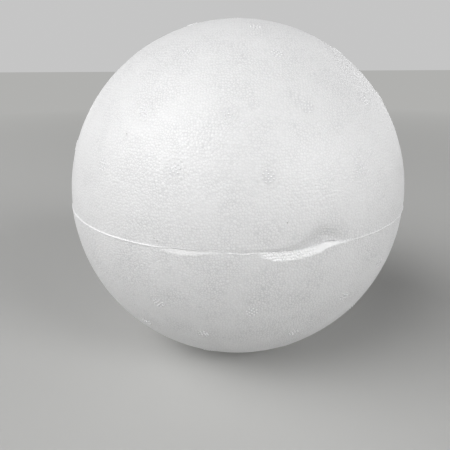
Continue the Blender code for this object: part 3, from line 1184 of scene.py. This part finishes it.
class FOAMBALL_OT_specks(Operator):
    """Make the few grey specks of dust and white crumbs that lie on the skin"""

    bl_idname = "foamball.specks"
    bl_label = "Specks"

    # Latitude and longitude in degrees, and the radius of each
    GREY = ((28.0, -34.7), (7.3, 12.7), (-23.6, -34.7), (1.5, -20.7), (2.2, -21.6))
    GREY_RADIUS = 0.45 * MM
    WHITE = ((11.8, -0.6), (-15.4, 29.1), (-12.1, -32.5), (29.9, 26.5))
    WHITE_RADIUS = 0.4375 * MM

    # The net of a crumb, and how high it stands and how deep it sinks, as shares of its radius
    SIDES = 10
    PROFILE_STEPS = 3
    HIGH = 0.22
    DEEP = 0.3

    def make_specks(self, form, name, places, radius):
        """Low round crumbs, each a flattened dome with its foot on the skin."""
        latitude, longitude = np.radians(places).T
        out = direction(latitude, longitude)
        foot = form.surface(latitude, longitude, np.sign(latitude))
        angle = np.linspace(0.0, math.pi / 2, self.PROFILE_STEPS + 1)
        dome = np.stack((np.sin(angle), self.HIGH * np.cos(angle)), axis=-1)
        profile = radius * np.concatenate((dome, [(0.0, -self.DEEP)]))
        return studs_mesh(name, profile, foot, out, self.SIDES, longitude, np.ones(len(out)))

    def execute(self, context):
        settings = context.scene.foamball
        form = Form(settings)
        grey = shared_material(speck_material, "grey_speck", settings.foam)
        white = shared_material(bare_bead_material, "bare_bead", settings.foam)
        specks = self.make_specks(form, "grey_specks", self.GREY, self.GREY_RADIUS)
        new_piece("grey_specks", specks, grey)
        crumbs = self.make_specks(form, "white_crumbs", self.WHITE, self.WHITE_RADIUS)
        new_piece("white_crumbs", crumbs, white)
        return {"FINISHED"}


class Lamp(NamedTuple):
    """A soft square white lamp that faces the ball: direction from it, size and power."""

    name: str
    towards: tuple
    size: float
    power: float


class FOAMBALL_OT_stage(Operator):
    """Make the floor, the lamps, the backdrop and the camera"""

    bl_idname = "foamball.stage"
    bl_label = "Stage"

    # The floor: its side, the lines of its net each way, the distances from its middle between
    # which its plain far colour comes in, and its finish
    FLOOR_SIDE = 18.0
    FLOOR_LINES = 9
    FLOOR_FADE = (0.5, 2.0)
    FLOOR_ROUGHNESS = 0.9
    FLOOR_GLOSS = 0.2

    # The lamps, all at one distance from the ball's centre
    LAMP_DISTANCE = 4.0
    LAMPS = (
        Lamp("key_lamp", (-0.57, -0.37, 0.74), 2.6, 54.0),
        Lamp("front_lamp", (-0.49, -0.59, 0.64), 2.1, 50.0),
        Lamp("right_lamp", (0.69, -0.56, 0.46), 1.4, 61.0),
        Lamp("upper_left_lamp", (-0.80, -0.10, 0.60), 2.7, 38.0),
        Lamp("side_lamp", (1.0, 0.05, 0.2), 2.7, 31.0),
        Lamp("left_lamp", (-0.94, 0.0, 0.34), 2.7, 14.0),
        Lamp("low_lamp", (0.80, -0.60, 0.02), 2.4, 9.0),
        Lamp("back_right_lamp", (0.65, 0.70, 0.25), 2.7, 14.0),
        Lamp("back_left_lamp", (-0.65, 0.70, 0.25), 2.7, 8.0),
    )

    # The camera, from the ball's centre, the point it is aimed at, how far it is rolled, the
    # width of its sensor in millimetres, and the nearest that it sees
    CAMERA_DISTANCE = 0.3620
    CAMERA_RISE = math.radians(15.82)
    CAMERA_AIM = (-0.0092, 0.0, -0.0298)
    CAMERA_ROLL = math.radians(-0.34)
    SENSOR_WIDTH = 36.0
    NEAREST = 0.01

    @staticmethod
    def seen_rays(tree):
        """1 for the rays by which the camera sees a thing, straight, in a gloss or through it."""
        path = tree.nodes.new("ShaderNodeLightPath")
        total = path.outputs["Is Camera Ray"]
        for name in ("Is Glossy Ray", "Is Transmission Ray"):
            either = tree.nodes.new("ShaderNodeMath")
            either.operation = "MAXIMUM"
            tree.links.new(total, either.inputs[0])
            tree.links.new(path.outputs[name], either.inputs[1])
            total = either.outputs[0]
        return total

    def floor_material(self, look):
        """Matt near the ball, where it keeps the ball's shadow. Farther off, where the lamps no
        longer reach, the camera sees one plain colour, so that the floor doesn't turn dark."""
        nodes = Nodes("pale_floor")
        nodes.shader.inputs["Base Color"].default_value = opaque(look.floor_colour)
        nodes.shader.inputs["Roughness"].default_value = self.FLOOR_ROUGHNESS
        nodes.shader.inputs["Specular IOR Level"].default_value = self.FLOOR_GLOSS
        length = nodes.add("ShaderNodeVectorMath", operation="LENGTH")
        nodes.join(nodes.place, length.inputs[0])
        far = nodes.fit(length.outputs["Value"], *self.FLOOR_FADE, 0.0, 1.0)
        share = nodes.sums("MULTIPLY", far, self.seen_rays(nodes.tree))
        plain = nodes.add("ShaderNodeEmission", {"Color": opaque(look.far_colour)})
        mix = nodes.add("ShaderNodeMixShader")
        nodes.join(share, mix.inputs["Fac"])
        nodes.join(nodes.shader.outputs["BSDF"], mix.inputs[1])
        nodes.join(plain.outputs["Emission"], mix.inputs[2])
        nodes.join(mix.outputs[0], nodes.tree.nodes["Material Output"].inputs["Surface"])
        return nodes.material

    def make_floor(self, look):
        """A flat square under the ball: a grid of even steps along and across it."""
        side = np.linspace(-0.5, 0.5, self.FLOOR_LINES) * self.FLOOR_SIDE
        across, along = np.meshgrid(side, side, indexing="ij")
        points = np.stack((across, along, np.full_like(across, CAD_LOW.z)), axis=-1)
        index = np.arange(points[..., 0].size).reshape(points.shape[:2])
        quads = np.stack(
            (index[:-1, :-1], index[1:, :-1], index[1:, 1:], index[:-1, 1:]), axis=-1
        ).reshape(-1, 4)
        mesh = bpy.data.meshes.new("floor")
        mesh.from_pydata(points.reshape(-1, 3), [], quads.tolist())
        mesh.materials.append(self.floor_material(look))
        floor = bpy.data.objects.new("floor", mesh)
        bpy.context.scene.collection.objects.link(floor)

    def make_lamp(self, lamp):
        """A square area lamp that faces the ball's centre."""
        data = bpy.data.lights.new(lamp.name, "AREA")
        data.shape = "SQUARE"
        data.size = lamp.size
        data.energy = lamp.power
        made = bpy.data.objects.new(lamp.name, data)
        towards = Vector(lamp.towards).normalized()
        made.location = towards * self.LAMP_DISTANCE
        made.rotation_euler = towards.to_track_quat("Z", "Y").to_euler()
        bpy.context.scene.collection.objects.link(made)

    def make_world(self, look):
        """Even light all round, and a plain backdrop for what the camera sees past the floor."""
        world = bpy.data.worlds.new("studio")
        world.use_nodes = True
        tree = world.node_tree
        even = tree.nodes["Background"]
        even.inputs["Color"].default_value = (1.0, 1.0, 1.0, 1.0)
        even.inputs["Strength"].default_value = look.ambient
        seen = tree.nodes.new("ShaderNodeBackground")
        seen.inputs["Color"].default_value = opaque(look.backdrop_colour)
        mix = tree.nodes.new("ShaderNodeMixShader")
        tree.links.new(self.seen_rays(tree), mix.inputs["Fac"])
        tree.links.new(even.outputs["Background"], mix.inputs[1])
        tree.links.new(seen.outputs["Background"], mix.inputs[2])
        tree.links.new(mix.outputs[0], tree.nodes["World Output"].inputs["Surface"])
        bpy.context.scene.world = world

    def make_camera(self, look):
        """The camera in front of the ball and a little over its seam, aimed beside its centre."""
        data = bpy.data.cameras.new("camera")
        data.sensor_width = self.SENSOR_WIDTH
        data.lens = look.focal_length
        data.clip_start = self.NEAREST
        camera = bpy.data.objects.new("camera", data)
        rise = self.CAMERA_RISE
        place = Vector((0.0, -math.cos(rise), math.sin(rise))) * self.CAMERA_DISTANCE
        ahead = (Vector(self.CAMERA_AIM) - place).normalized()
        camera.rotation_mode = "QUATERNION"
        turn = ahead.to_track_quat("-Z", "Y")
        roll = Quaternion((0.0, 0.0, 1.0), self.CAMERA_ROLL)
        camera.rotation_quaternion = turn @ roll
        camera.location = place
        bpy.context.scene.collection.objects.link(camera)
        bpy.context.scene.camera = camera

    def execute(self, context):
        look = context.scene.foamball.studio
        self.make_floor(look)
        for lamp in self.LAMPS:
            self.make_lamp(lamp)
        self.make_world(look)
        self.make_camera(look)
        context.scene.view_settings.view_transform = "Standard"
        return {"FINISHED"}


class FoamBallSettings(PropertyGroup):
    """All sizes and colours of the add-on."""

    ball: PointerProperty(type=BallShape)
    dent: PointerProperty(type=DentShape)
    vent: PointerProperty(type=VentShape)
    foam: PointerProperty(type=FoamLook)
    studio: PointerProperty(type=StudioLook)


class FOAMBALL_PT_panel(Panel):
    """Lists the sizes, the colours and the pieces of the ball"""

    bl_idname = "FOAMBALL_PT_panel"
    bl_label = "Foam Ball"
    bl_space_type = "VIEW_3D"
    bl_region_type = "UI"
    bl_category = "Foam Ball"

    def draw(self, context):
        settings = context.scene.foamball
        for group in ("ball", "dent", "vent", "foam", "studio"):
            box = self.layout.box()
            box.label(text=group.capitalize())
            values = getattr(settings, group)
            for name in values.__annotations__:
                box.prop(values, name)
        for operator in PIECE_OPERATORS:
            self.layout.operator(operator.bl_idname)


PIECE_OPERATORS = (
    FOAMBALL_OT_skin,
    FOAMBALL_OT_vent_marks,
    FOAMBALL_OT_edge_beads,
    FOAMBALL_OT_specks,
    FOAMBALL_OT_stage,
)
GROUPS = (BallShape, DentShape, VentShape, FoamLook, StudioLook, FoamBallSettings)


def register():
    """Register the settings, the operators and the panel."""
    for group in (*GROUPS, *PIECE_OPERATORS, FOAMBALL_PT_panel):
        bpy.utils.register_class(group)
    bpy.types.Scene.foamball = PointerProperty(type=FoamBallSettings)


def unregister():
    """Take the settings, the operators and the panel away again."""
    del bpy.types.Scene.foamball
    for group in reversed((*GROUPS, *PIECE_OPERATORS, FOAMBALL_PT_panel)):
        bpy.utils.unregister_class(group)


def main():
    """Register the add-on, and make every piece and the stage."""
    register()
    bpy.ops.foamball.skin()
    bpy.ops.foamball.vent_marks()
    bpy.ops.foamball.edge_beads()
    bpy.ops.foamball.specks()
    bpy.ops.foamball.stage()


if __name__ == "__main__":
    main()
